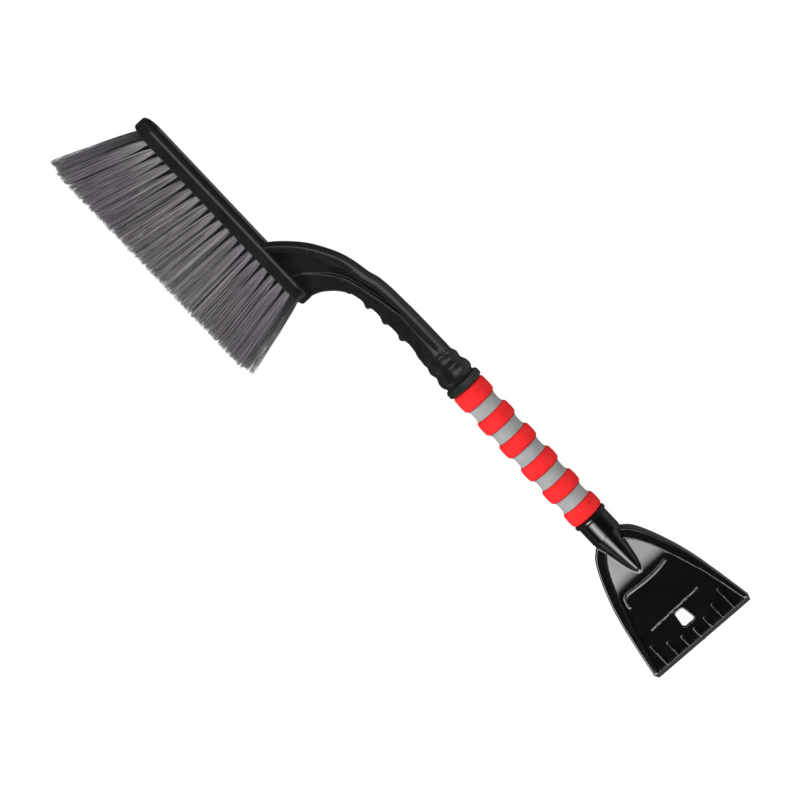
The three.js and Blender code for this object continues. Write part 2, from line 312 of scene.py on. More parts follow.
def bump(nodes, links, shader, height, distance, strength):
    node = nodes.new("ShaderNodeBump")
    node.inputs["Distance"].default_value = distance
    node.inputs["Strength"].default_value = strength
    links.new(height, node.inputs["Height"])
    links.new(node.outputs["Normal"], shader.inputs["Normal"])


def object_coords(nodes):
    return nodes.new("ShaderNodeTexCoord").outputs["Object"]


def moulded_plastic(name, slot, dark, light, smooth, rough, grain):
    """Black moulded plastic: faint mottling, fine grain, edges worn a little paler."""
    material, nodes, links, shader = new_material(name, slot)
    coords = object_coords(nodes)
    mottle = noise(nodes, links, coords, 60)
    geometry = nodes.new("ShaderNodeNewGeometry")
    edge = ramp(nodes, links, geometry.outputs["Pointiness"], (0.5, (0, 0, 0)), (0.62, (1, 1, 1)))
    base = ramp(nodes, links, mottle, (0.3, dark), (0.7, light))
    worn = nodes.new("ShaderNodeMix")
    worn.data_type = "RGBA"
    worn.inputs[7].default_value = (*[2.5 * c for c in light], 1)
    links.new(edge, worn.inputs[0])
    links.new(base, worn.inputs[6])
    links.new(worn.outputs[2], shader.inputs["Base Color"])
    links.new(spread(nodes, links, noise(nodes, links, coords, 140), smooth, rough),
              shader.inputs["Roughness"])
    bump(nodes, links, shader, noise(nodes, links, coords, 1900, 2), 0.0002, grain)
    shader.inputs["IOR"].default_value = 1.48
    return material


def foam(name, slot, deep, main, pale):
    """Matte EVA foam: fine open cells and slightly uneven colour."""
    material, nodes, links, shader = new_material(name, slot)
    coords = object_coords(nodes)
    patches = noise(nodes, links, coords, 90, 4, 0.6)
    links.new(ramp(nodes, links, patches, (0.25, deep), (0.5, main), (0.8, pale)),
              shader.inputs["Base Color"])
    links.new(spread(nodes, links, noise(nodes, links, coords, 300), 0.62, 0.85),
              shader.inputs["Roughness"])
    cells = nodes.new("ShaderNodeTexVoronoi")
    cells.inputs["Scale"].default_value = 1500
    links.new(coords, cells.inputs["Vector"])
    bump(nodes, links, shader, cells.outputs["Distance"], 0.0003, 0.35)
    shader.inputs["Specular IOR Level"].default_value = 0.15
    return material


def bristle_filament():
    """Split plastic filaments: each one its own tint, with violet-grey zones, mostly near the heel; near
    the block the attribute also paints shade on the lower rows and light on the top row.
    """
    material, nodes, links, shader = new_material("bristle_filament", "bristle")
    coords = object_coords(nodes)
    # The attribute holds each fibre's random tint plus painted shade and painted light near the block.
    attribute = nodes.new("ShaderNodeAttribute")
    attribute.attribute_name = "tint_with_painted_shade"
    tint_with_painted_shade = attribute.outputs["Fac"]
    # The dark end of this ramp shows the painted shade, the light end the painted light as well as the
    # pale fibres.
    tint = ramp(nodes, links, tint_with_painted_shade,
                (0.0, (0.04, 0.038, 0.042)), (0.3, (0.20, 0.188, 0.193)),
                (0.8, (0.32, 0.305, 0.305)), (1.0, (0.50, 0.48, 0.475)))
    place = nodes.new("ShaderNodeSeparateXYZ")
    links.new(coords, place.inputs["Vector"])
    heel = nodes.new("ShaderNodeMapRange")
    heel.inputs["From Min"].default_value = -0.20
    heel.inputs["From Max"].default_value = -0.12
    heel.inputs["To Max"].default_value = 0.16
    links.new(place.outputs["X"], heel.inputs["Value"])
    violet = nodes.new("ShaderNodeMath")
    links.new(noise(nodes, links, coords, 14, 2), violet.inputs[0])
    links.new(heel.outputs["Result"], violet.inputs[1])
    zones = ramp(nodes, links, violet.outputs["Value"],
                 (0.42, (1, 1, 1)), (0.66, (0.80, 0.78, 0.86)))
    mix = nodes.new("ShaderNodeMix")
    mix.data_type = "RGBA"
    mix.blend_type = "MULTIPLY"
    mix.inputs[0].default_value = 1
    links.new(tint, mix.inputs[6])
    links.new(zones, mix.inputs[7])
    links.new(mix.outputs[2], shader.inputs["Base Color"])
    links.new(spread(nodes, links, tint_with_painted_shade, 0.42, 0.62), shader.inputs["Roughness"])
    shader.inputs["Specular IOR Level"].default_value = 0.35
    return material


def tube_metal():
    """Drawn aluminium tube: fine marks round the axis."""
    material, nodes, links, shader = new_material("tube_metal", "tube_metal")
    coords = object_coords(nodes)
    stretch = nodes.new("ShaderNodeMapping")
    stretch.inputs["Scale"].default_value = (900, 20, 20)
    links.new(coords, stretch.inputs["Vector"])
    marks = noise(nodes, links, stretch.outputs["Vector"], 1, 2)
    links.new(ramp(nodes, links, marks, (0.3, (0.55, 0.56, 0.57)), (0.7, (0.72, 0.73, 0.74))),
              shader.inputs["Base Color"])
    links.new(spread(nodes, links, marks, 0.25, 0.45), shader.inputs["Roughness"])
    bump(nodes, links, shader, marks, 0.0001, 0.2)
    shader.inputs["Metallic"].default_value = 1
    return material


SATIN_BLACK = moulded_plastic("satin_black", "satin_black",
                              (0.006, 0.006, 0.007), (0.011, 0.011, 0.012), 0.23, 0.31, 0.08)
GLOSS_BLACK = moulded_plastic("gloss_black", "gloss_black",
                              (0.003, 0.003, 0.0033), (0.005, 0.005, 0.0055), 0.045, 0.06, 0.003)
COLLAR_BLACK = moulded_plastic("collar_rubber", "collar_rubber",
                               (0.008, 0.011, 0.009), (0.013, 0.017, 0.014), 0.34, 0.46, 0.15)
RED_FOAM = foam("red_foam", "red_foam",
                (0.76, 0.016, 0.018), (0.87, 0.022, 0.024), (0.92, 0.032, 0.034))
GREY_FOAM = foam("grey_foam", "grey_foam",
                 (0.28, 0.29, 0.288), (0.325, 0.335, 0.333), (0.365, 0.375, 0.373))
BRISTLE = bristle_filament()
TUBE_METAL = tube_metal()


# ---------- grip ----------

def arc(centre, radius, start, end, steps=8):
    """Points on a circular arc, with angles in degrees."""
    angle = np.radians(np.linspace(start, end, steps + 1))
    return [[centre[0] + radius * math.cos(a), centre[1] + radius * math.sin(a)] for a in angle]


def densify(profile, spacing=0.6):
    """A closed profile with extra points, so that no span is longer than the spacing."""
    profile = np.array(profile, float)
    points = []
    for a, b in zip(profile, np.roll(profile, -1, 0)):
        count = max(1, math.ceil(np.linalg.norm(b - a) / spacing))
        points.extend(a + (b - a) * i / count for i in range(count))
    return np.array(points)


def bored_ring(name, node, outer, material):
    """A ring on the core tube, from the [x, radius] line of its outer face."""
    low, high = tool_box(node)
    profile = np.vstack([[[low[0], BORE_R]], outer, [[high[0], BORE_R]]])
    return piece(name, *revolve(densify(profile)), material, "handle", [node])


def red_ring(number):
    """A barrel of red foam with well rounded shoulders."""
    node = f"grip_red_{number}"
    low, high = tool_box(node)
    r = high[2]
    shoulder = 3.2
    bulge = 0.25
    centre_r = r - shoulder - bulge
    left = arc((low[0] + shoulder, centre_r), shoulder, 180, 100)
    right = arc((high[0] - shoulder, centre_r), shoulder, 80, 0)
    crest = [(low[0] + high[0]) / 2, r]
    crown = curve(left[1:] + [crest] + right[:-1], 3)
    bored_ring(node + "_foam", node, np.vstack([left[:1], crown, right[-1:]]), RED_FOAM)


def grey_ring(number):
    """A waisted ring of grey foam: it is slimmest over its middle part."""
    node = f"grip_grey_{number}"
    low, high = tool_box(node)
    edge_r = high[2]
    waist_r = edge_r - 1.0
    bend = 2.2  # how far in from the edges the waist is nearly reached
    bend_r = waist_r + 0.15
    outer = curve([[low[0], edge_r], [low[0] + bend, bend_r], [(low[0] + high[0]) / 2, waist_r],
                   [high[0] - bend, bend_r], [high[0], edge_r]], 6)
    bored_ring(node + "_foam", node, outer, GREY_FOAM)


def collar():
    """The ring that closes the grip: a rolled edge with a fine groove round its crest."""
    low, high = COLLAR_LOW, COLLAR_HIGH
    r = high[2]
    outer = curve([
        [low[0], r - 2.6], [low[0] + 0.7, r - 1.2], [low[0] + 2.2, r - 0.2], [low[0] + 3.4, r],
        [low[0] + 4.1, r - 0.45], [low[0] + 4.8, r], [high[0] - 1.8, r - 0.15],
        [high[0] - 0.6, r - 0.9], [high[0], r - 2.2],
    ], 5)
    return bored_ring("collar_ring_moulding", "collar_ring", outer, COLLAR_BLACK)


def stop_ring():
    """The plain ring between grip and socket, rounded at both edges."""
    low, high = tool_box("grip_stop_ring")
    rounding = 1.2
    centre_r = high[2] - rounding
    left = arc((low[0] + rounding, centre_r), rounding, 180, 90)
    right = arc((high[0] - rounding, centre_r), rounding, 90, 0)
    return bored_ring("grip_stop_moulding", "grip_stop_ring", left + right, GLOSS_BLACK)


def core_tube():
    """The tube inside the grip, with a small bevel at its open end."""
    inner = TUBE_R - TUBE_WALL
    start, end = TUBE_LOW[0], TUBE_HIGH[0]
    bevel = 0.3
    profile = [[start, TUBE_R - bevel], [start + bevel, TUBE_R], [end, TUBE_R],
               [end, inner], [start + bevel, inner], [start, inner + bevel]]
    piece("core_tube", *revolve(densify(profile, 3)), TUBE_METAL, "handle", ["handle_tube"])


# ---------- scraper head ----------

FLOOR = 1.6  # half the thickness of the blade's flat part, inside the rim
SLOPE_START = 154  # from here towards the socket the blade thickens
SLOPE = 0.12
SLOPE_BEND = 150  # how gradually the slope starts, in square millimetres
BLADE_SIDE = [[106.6, 14], [115.8, 23.6], [136.9, 34], [164.5, 43.6], [194.6, 50.4], [231.5, 57.2]]
RIM_INNER = [[110, 2.0], [113.5, 7.0], [118, 12.0], [126, 18.2], [136.9, 24.2], [155, 31.4], [189, 42.8],
             [231.5, 52.8]]
RIM_ROUNDING = 1.1
RIM_START = 106
RIM_START_DEPTH = 7.5  # half the thickness of the rim where it starts, and then where the bevel starts
BEVEL_DEPTH = 4.2
BLADE_EDGE = HEAD_HIGH[0]
BLADE_CORNER = [BLADE_EDGE, 55.6]
BEVEL_START = BLADE_EDGE - 5.1
EDGE_DEPTH = 0.8  # half the thickness of the blade's edge
SOCKET_R = 15.3
SPINE = [[97, 17.0], [104.5, 15.1], [111.7, 13.2], [118.9, 11.3], [128.1, 9.2], [136.3, 7.3],
         [142.4, 5.6], [146.5, 4.1], [149.6, 2.2], [151.6, -0.2]]
RIB_SPACING = 13.5
OUTER_LANE = 3  # there are three ribs on each side of the middle one
RIB_ARCH_X = 222.3  # where the middle rib starts
RIB_ARCH_DEPTH = 13  # how much nearer to the socket the outer ribs start
RIB_WIDTH = 1.5
RIB_HEIGHT = 2.3
WINDOW = [[203.6, -2.4], [213.3, -3.8], [213.3, 3.8], [203.6, 2.4]]  # wider towards the blade's edge
WINDOW_ROUNDING = 2.8  # the window reaches this far beyond its corner points
LIP_R = 0.45
LIP = [[156.9, 23.5], [158.6, 15.5], [159.6, 5], [159.6, -6.3], [158.8, -17], [158.6, -24],
       [160.4, -27.3], [163.6, -28.9], [169, -30.2]]
CREASE_R = 0.08
CREASE = [[196.2, 28], [198.4, -30]]


def blade_floor(x):
    """Half thickness inside the rim: flat, then a straight slope up towards the socket."""
    beyond = SLOPE_START - x
    return FLOOR + SLOPE / 2 * (beyond + np.sqrt(beyond**2 + SLOPE_BEND))


def rim_depth(x):
    """Half thickness of the raised rim."""
    return np.interp(x, [RIM_START, BEVEL_START], [RIM_START_DEPTH, BEVEL_DEPTH])


def bead(x, y, z, line, radius):
    """A thin raised bead along a line, on the upper face of the blade."""
    return np.hypot(line_distance(x, y, line), z - blade_floor(x)) - radius


def spine_and_socket(x, rho):
    """The round socket, which runs out into a long pointed spine."""
    solid = np.maximum(turned(x, rho, SPINE), rho - SOCKET_R)
    return np.maximum(solid, HEAD_LOW[0] - x)


def scraper_field(x, y, z):
    """The whole moulding: blade, rim, ribs, lip, crease, bevel, window, spine and bored socket."""
    side = curve(BLADE_SIDE)
    outline = outline_distance(x, y, mirrored(np.vstack([side, [BLADE_CORNER]])))
    dish = outline_distance(x, y, mirrored(curve(RIM_INNER)))
    rho = np.hypot(y, z)
    solid = thick(outline, z, rim_depth(x), RIM_ROUNDING)
    solid = carve(solid, np.maximum(dish, blade_floor(x) - np.abs(z)), 0.6)
    solid = join(solid, ice_ribs(x, y, z), 0.3)
    solid = join(solid, bead(x, y, z, curve(LIP, 4), LIP_R), 1.0)
    solid = join(solid, bead(x, y, z, CREASE, CREASE_R), 0.3)
    bevel_slope = (BEVEL_DEPTH - EDGE_DEPTH) / (BLADE_EDGE - BEVEL_START)
    below_bevel = EDGE_DEPTH + bevel_slope * (BLADE_EDGE - x) - np.abs(z)
    solid = carve(solid, below_bevel / math.hypot(1, bevel_slope), 0.5)
    solid = carve(solid, window_distance(x, y), 0.5)
    solid = join(solid, spine_and_socket(x, rho), 1.3)
    bore = np.maximum(rho - BORE_R, x - TUBE_HIGH[0] - CLEARANCE)
    return carve(solid, bore, 0.3)


def ice_ribs(x, y, z):
    """Seven ribs on the upper face that start on an arch and ramp up from the floor."""
    lane = np.clip(np.round(y / RIB_SPACING), -OUTER_LANE, OUTER_LANE)
    start = RIB_ARCH_X - RIB_ARCH_DEPTH * (lane / OUTER_LANE) ** 2
    top = FLOOR + RIB_HEIGHT * smoothstep(start - 2, start + 9, x)
    across = np.abs(y - lane * RIB_SPACING) - RIB_WIDTH / 2
    along = np.maximum(start - x, x - BEVEL_START - 1)
    return np.maximum(np.maximum(across, along), np.maximum(z - top, -z))


def window_distance(x, y):
    return outline_distance(x, y, np.array(WINDOW)) - WINDOW_ROUNDING


# ---------- brush arm ----------

FOOT_Y = BLOCK_HIGH[1] - DISH_DEPTH
SHOULDER_X = COLLAR_LOW[0] - CLEARANCE
PLUG_R = TUBE_R - TUBE_WALL - CLEARANCE
ARM_TOP = curve([[-112, 12.2], [-128, 12.2], [-157, 12.0], [-180, 11.3], [-193, 10.6], [-205.5, 9.0],
                 [-211, 7.4], [-217, 5.6], [-227.5, 3.6], [-242.5, -0.7], [-257.3, -7.8], [-273, -18.0],
                 [-287, -31.2], [-297, -43.5], [-303, -56]])
ARM_UNDERSIDE = curve([[-238, -56], [-235.6, -48], [-234.4, -42.5], [-231, -34.9], [-223.8, -26.0],
                       [-217, -20.6], [-214, -19.4], [-212.3, -17.7], [-206, -15.8], [-200.5, -15.0],
                       [-197.5, -15.9], [-195.2, -16.7], [-192.8, -16.2], [-191, -13.8], [-186, -12.7],
                       [-180, -12.9], [-176.6, -14.2], [-174.4, -14.9], [-172, -14.3], [-170, -12.5],
                       [-164, -11.8], [-157.6, -12.1], [-155.2, -13.4], [-153, -14.1], [-150.8, -13.4],
                       [-148.8, -11.3], [-143, -10.7], [-136, -11.4], [-131.5, -12.8], [-126, -13.2],
                       [-112, -12.5]])
ARM_OUTLINE = np.vstack([ARM_TOP, ARM_UNDERSIDE])
RAIL_CENTRE = 4.1  # how far the middle of the top rail lies below the top edge
RAIL_HALF_HEIGHT = 3.7
RAIL_DEPTH = 12.2
RAIL_CREST = 5.2  # its two faces are crowned, and this is how far their crests lie below the top edge
RAIL_CROWN_R = 8.0
RAIL_END = -118
WEB_DEPTH = 7.4  # half the thickness of the web near the block
CHANNEL_FLOOR = 4.0  # half the thickness that is left between the channels on the two faces
RIB_HALF_WIDTH = 1.5
RIB_LINE = curve([[-157.5, 1.5], [-168.6, 1.6], [-175.5, 0.4], [-189.3, -2.4], [-206.8, -6.8],
                  [-213.5, -8.3], [-223.8, -11.7], [-229.1, -14.5], [-237.6, -19.6], [-246, -26.5]])
CHANNEL_TOP = curve([[-285, -56], [-283, -50], [-277, -38.5], [-268, -28.5], [-259, -20.5], [-244, -11.5],
                     [-226, -3.0], [-205, 3.0], [-185, 4.8], [-172, 4.6], [-163, 3.4]])
CHANNEL_END = [[-256, -37], [-262, -50], [-263, -56]]
CHANNEL = np.vstack([CHANNEL_TOP, RIB_LINE, CHANNEL_END])
NECK = [[-176, 0.0], [-170, 4.0], [-162, 7.6], [-152, 10.0], [-142, 11.1], [-132, 11.7], [-127, 12.5],
        [-124, 13.4], [-121, 13.9], [-117.5, 13.4], [-114.8, 14.6], [-111, 15.8], [-107.8, 15.3],
        [-104.5, 14.7], [-102, 15.7], [-98.5, 17.0], [-94.5, 17.0], [-92, 15.9], [-90.5, 15.1],
        [-86, 15.0]]


def arm_field(x, y, z):
    """Web with channels, rib, crowned top rail and ringed neck, cut off at the ends, and the plug."""
    outline = outline_distance(x, y, ARM_OUTLINE)
    below_top = line_distance(x, y, ARM_TOP) * np.where(outline < 0, 1, -1)
    web_depth = WEB_DEPTH + 2.0 * smoothstep(-215, -160, x)  # thicker towards the neck
    solid = thick(outline, z, web_depth, 3.0)
    channel_floor = CHANNEL_FLOOR + 3.4 * smoothstep(-228, -258, x)  # shallow at the block
    pocket = np.maximum(outline_distance(x, y, CHANNEL) + 0.8, channel_floor - np.abs(z))
    solid = carve(solid, pocket, 1.8)
    rib_depth = web_depth + 1.2 - 2.9 * smoothstep(-228, -243, x)  # low at the block
    rib = thick(line_distance(x, y, RIB_LINE) - RIB_HALF_WIDTH, z, rib_depth, 1.2)
    solid = join(solid, rib, 0.7)
    crown_r = RAIL_CROWN_R + 40 * smoothstep(-222, -248, x)  # nearly flat at the block
    crown = RAIL_DEPTH - (below_top - RAIL_CREST) ** 2 / (2 * crown_r)
    rail = thick(np.abs(below_top - RAIL_CENTRE) - RAIL_HALF_HEIGHT, z, crown, 1.4)
    solid = join(solid, np.maximum(rail, x - RAIL_END), 1.4)
    sag = -0.9 * np.exp(-(((x + 119) / 10) ** 2))  # the neck's middle dips where its first ring is
    rho = np.hypot(y - sag, z)
    neck = np.maximum(turned(x, rho, NECK), NECK[0][0] - x)
    solid = join(solid, neck, 2.0)
    solid = carve(solid, SHOULDER_X - x, 0.6)
    solid = carve(solid, y - FOOT_Y, 0.3)
    return np.minimum(solid, plug(x, y, z))


def plug(x, y, z):
    """The round end that slides in the handle's tube. It starts well inside the neck."""
    start, end = SHOULDER_X - 8, ARM_HIGH[0]
    return thick(np.hypot(y, z) - PLUG_R, x - (start + end) / 2, (end - start) / 2, 1.6)


# ---------- brush block ----------

BACK_ROUNDING = 3.0
FACE_ROUNDING = 1.2
DISH_INSET = 4.2  # the width of the raised edge round the dish


def block_field(x, y, z):
    """A bar with round ends. Its back has a raised edge round a shallow dish."""
    middle_x = (BLOCK_LOW[0] + BLOCK_HIGH[0]) / 2
    middle_y = (BLOCK_LOW[1] + BLOCK_HIGH[1]) / 2
    half_length = (BLOCK_HIGH[0] - BLOCK_LOW[0]) / 2
    half_width = BLOCK_HIGH[2]
    half_depth = (BLOCK_HIGH[1] - BLOCK_LOW[1]) / 2
    beyond = np.maximum(np.abs(x - middle_x) - (half_length - half_width), 0)
    outline = np.hypot(beyond, z) - half_width
    rounding = np.where(y > middle_y, BACK_ROUNDING, FACE_ROUNDING)
    solid = thick(outline, y - middle_y, half_depth, rounding)
    dished = outline + DISH_INSET
    floor_y = BLOCK_HIGH[1] - DISH_DEPTH - 0.8 * smoothstep(0, -10, dished)
    return carve(solid, np.maximum(dished, floor_y - y), 1.2)


# ---------- bristles ----------

COLUMNS = 22
ROOT_MARGIN = 8.6  # from the block's ends to the first and last columns
OUTER_ROW = 13.5
INNER_ROW = 4.5
FIBRES_PER_TUFT = 130
CLUMPS_PER_TUFT = 11
FIBRE_R = 0.26
FIBRE_TAPER = 0.55  # the share of its radius that a fibre loses towards its tip
RINGS = 8
SIDES = 3
ROOT_DEPTH = 1.5  # how far inside the block the fibres start
ROOT_R = 2.5
TIP_HALF_WIDTH = 7.2
TIP_HALF_DEPTH = 5.0
TIP_INSET = 5.0  # from the fan's outer edges to the tips of the first and last columns
TIP_SCATTER = 0.10
TIP_OVERRUN = 0.8  # how far the longest fibres reach past the CAD's tips
OPENING = 0.58  # a power below 1: a tuft opens most near the block
CLUMPING = 0.4  # how far the tips are drawn to the middle of their clump, from 0 to 1
WAVE_X, WAVE_Z = 0.35, 0.30  # how far a fibre sways at its tip


def column_x(column):
    """Where a column of tufts stands at the block, and where its tips are. Columns may be halves."""
    share = column / (COLUMNS - 1)
    root_x = BLOCK_LOW[0] + ROOT_MARGIN + share * (BLOCK_HIGH[0] - BLOCK_LOW[0] - 2 * ROOT_MARGIN)
    first, last = tool_box("tuft_01")[0][0], tool_box(f"tuft_{COLUMNS:02d}")[1][0]
    return root_x, first + TIP_INSET + share * (last - first - 2 * TIP_INSET)


def tuft_places(column):
    """(column, depth) of each tuft in one column: the block's round ends only have room for one."""
    at_end = column in (0, COLUMNS - 1)
    places = [(column, 0)] if at_end else [(column, -OUTER_ROW), (column, OUTER_ROW)]
    if column < COLUMNS - 1:
        places += [(column + 0.5, -INNER_ROW), (column + 0.5, INNER_ROW)]
    return places


def tuft_lines(place, depth, draw):
    """Middle lines of one tuft's fibres, shape (fibres, rings, 3): they spread out in small clumps."""
    count = FIBRES_PER_TUFT
    root_x, tip_x = column_x(place)
    face_y, tip_y = BLOCK_LOW[1], tool_box("tuft_01")[0][1]
    angle = draw.uniform(0, 2 * math.pi, count)
    reach = np.sqrt(draw.uniform(0, 1, count))
    u, v = reach * np.cos(angle), reach * np.sin(angle)
    clump_angle = draw.uniform(0, 2 * math.pi, CLUMPS_PER_TUFT)
    clump_reach = np.sqrt(draw.uniform(0, 1, CLUMPS_PER_TUFT))
    clump_u, clump_v = clump_reach * np.cos(clump_angle), clump_reach * np.sin(clump_angle)
    clump = np.argmin(np.hypot(u[:, None] - clump_u, v[:, None] - clump_v), 1)
    tip_u = (1 - CLUMPING) * u + CLUMPING * clump_u[clump] + draw.normal(0, TIP_SCATTER, count)
    tip_v = (1 - CLUMPING) * v + CLUMPING * clump_v[clump] + draw.normal(0, TIP_SCATTER, count)
    uneven = draw.normal(0, 0.9, CLUMPS_PER_TUFT)[clump] + draw.normal(0, 0.7, count)
    few_short = 3.0 * draw.uniform(0, 1, count) ** 6
    ends = tip_y + np.abs(uneven) + few_short - TIP_OVERRUN
    t = np.linspace(0, 1, RINGS)[None, :]
    opened = t**OPENING
    start_y = face_y + ROOT_DEPTH
    x = root_x + (tip_x - root_x) * t + ROOT_R * u[:, None] * (1 - opened) \
        + TIP_HALF_WIDTH * tip_u[:, None] * opened
    y = start_y + (ends[:, None] - start_y) * t
    z = depth + ROOT_R * v[:, None] * (1 - opened) + TIP_HALF_DEPTH * tip_v[:, None] * opened
    phase = draw.uniform(0, 2 * math.pi, (2, count, 1))
    waves = draw.uniform(1.0, 2.4, (count, 1))
    x = x + WAVE_X * np.sin(2 * math.pi * waves * t + phase[0]) * t
    z = z + WAVE_Z * np.sin(2 * math.pi * waves * t + phase[1]) * t
    z = np.clip(z, BLOCK_LOW[2] + FIBRE_R, BLOCK_HIGH[2] - FIBRE_R)  # none sinks into the floor
    return np.stack([x, y, z], -1)


def tuft_tints_with_painted_shade(depth, draw):
    """Lightness of each ring of each fibre, 0 to 1: a random tint for each fibre, with painted light on
    the top row and painted shade on all the other rows, both near the block."""
    own = draw.uniform(0, 1, (FIBRES_PER_TUFT, 1))
    t = np.linspace(0, 1, RINGS)[None, :]
    if depth < OUTER_ROW:
        # Painted shade: the rows below the top one darken towards the block.
        return own * (0.2 + 0.8 * smoothstep(0.1, 0.75, t))
    # Painted light: the top row lightens towards the block.
    return own + (1 - own) * 0.5 * (1 - smoothstep(0, 0.25, t))


def fibre_mesh(lines):
    """Thin tapered tubes along the lines, open at both ends."""
    count = len(lines)
    t = np.linspace(0, 1, RINGS)
    radius = FIBRE_R * (1 - FIBRE_TAPER * t**2)
    along = np.gradient(lines, axis=1)
    along /= np.linalg.norm(along, axis=2, keepdims=True)
    across = np.cross(along, [0.0, 0.0, 1.0])
    across /= np.linalg.norm(across, axis=2, keepdims=True)
    upward = np.cross(across, along)
    rings = []
    for side in range(SIDES):
        a = 2 * math.pi * side / SIDES
        rings.append(lines + radius[None, :, None] * (math.cos(a) * across + math.sin(a) * upward))
    points = np.stack(rings, 2).reshape(-1, 3)
    base = (np.arange(count) * RINGS * SIDES)[:, None, None]
    ring = (np.arange(RINGS - 1) * SIDES)[None, :, None]
    side = np.arange(SIDES)[None, None, :]
    after = (side + 1) % SIDES
    quads = np.stack([base + ring + side, base + ring + SIDES + side,
                      base + ring + SIDES + after, base + ring + after], -1)
    return points, quads.reshape(-1, 4)


def bristles(column):
    """One column's fibres, all in one mesh, each point with its own lightness: a random tint with painted
    shade on the lower rows and painted light on the top row near the block.
    """
    draw = np.random.default_rng(700 + column)
    lines, tints_with_painted_shade = [], []
    for place, depth in tuft_places(column):
        lines.append(tuft_lines(place, depth, draw))
        tints_with_painted_shade.append(tuft_tints_with_painted_shade(depth, draw))
    points, quads = fibre_mesh(np.vstack(lines))
    obj = piece(f"bristles_{column + 1:02d}", points, quads, BRISTLE, "brush",
                [f"tuft_{column + 1:02d}"])
    # The attribute carries each fibre's random tint with painted shade and painted light near the block.
    tint_with_painted_shade = obj.data.attributes.new("tint_with_painted_shade", "FLOAT", "POINT")
    tint_with_painted_shade.data.foreach_set("value", np.repeat(np.vstack(tints_with_painted_shade).ravel(), SIDES).astype(np.float32))


# ---------- build ----------

FINE = 0.62  # mesh spacing of the moulded pieces, in millimetres

for ring_number in range(1, RED_RINGS + 1):
    red_ring(ring_number)
for ring_number in range(1, RED_RINGS):
    grey_ring(ring_number)
collar_piece = collar()
stop_piece = stop_ring()
core_tube()
scraper_piece = piece("scraper_moulding", *surface(scraper_field, HEAD_LOW, HEAD_HIGH, FINE),
                      GLOSS_BLACK, "handle", ["scraper_head"])
arm_piece = piece("brush_arm_moulding", *surface(arm_field, ARM_LOW, ARM_HIGH, FINE),
                  SATIN_BLACK, "brush", ["brush_arm"])
block_piece = piece("brush_block_moulding", *surface(block_field, BLOCK_LOW, BLOCK_HIGH, FINE),
                    SATIN_BLACK, "brush", ["brush_block"])
for column_number in range(COLUMNS):
    bristles(column_number)


# ---------- floor, light and camera ----------

PANEL_HEIGHT = 1300
STREAK_TILT = -4  # the socket's streak lies where its surface tilts this far, in degrees
STREAK_HALF_WIDTHS = (3, 5, 7, 9.5, 13)  # and it fades out over these
SOCKET_MIRRORS = (230, 375)  # the x span at panel height that the camera sees in the socket
BLADE_MIRRORS = (375, 610)  # the x span round what it sees in the flat blade, which has to stay dark
BLADE_DARK_Y = -400  # so over that span the panels end at this y


def tool_point(x, y, z):
    return Vector(np.array([x, y, z]) * MM + ORIGIN)


def light_path(nodes, kind):
    return nodes.new("ShaderNodeLightPath").outputs[kind]


def floor():
    """A wide pale floor that the tool lies on. Only the camera sees it pale: it lights the tool little."""
    half = 6.0
    mesh = bpy.data.meshes.new("floor")
    mesh.from_pydata([(-half, -half, 0), (half, -half, 0), (half, half, 0), (-half, half, 0)],
                     [], [(0, 1, 2, 3)])
    material, nodes, links, pale = new_material("pale_floor", "none")
    pale.inputs["Base Color"].default_value = (0.15, 0.15, 0.15, 1)
    pale.inputs["Roughness"].default_value = 0.9
    pale.inputs["Specular IOR Level"].default_value = 0
    pale.inputs["Emission Color"].default_value = (1, 1, 1, 1)
    pale.inputs["Emission Strength"].default_value = 0.92
    dull = nodes.new("ShaderNodeBsdfDiffuse")
    place = nodes.new("ShaderNodeSeparateXYZ")
    links.new(object_coords(nodes), place.inputs["Vector"])
    by_place = ramp(nodes, links, place.outputs["Y"],
                    (0.04, (0.06, 0.06, 0.06)), (0.1, (0.4, 0.4, 0.4)))
    links.new(by_place, dull.inputs["Color"])
    mix = nodes.new("ShaderNodeMixShader")
    links.new(light_path(nodes, "Is Camera Ray"), mix.inputs["Fac"])
    links.new(dull.outputs["BSDF"], mix.inputs[1])
    links.new(pale.outputs["BSDF"], mix.inputs[2])
    links.new(mix.outputs["Shader"], nodes["Material Output"].inputs["Surface"])
    mesh.materials.append(material)
    obj = bpy.data.objects.new("floor", mesh)
    bpy.context.scene.collection.objects.link(obj)


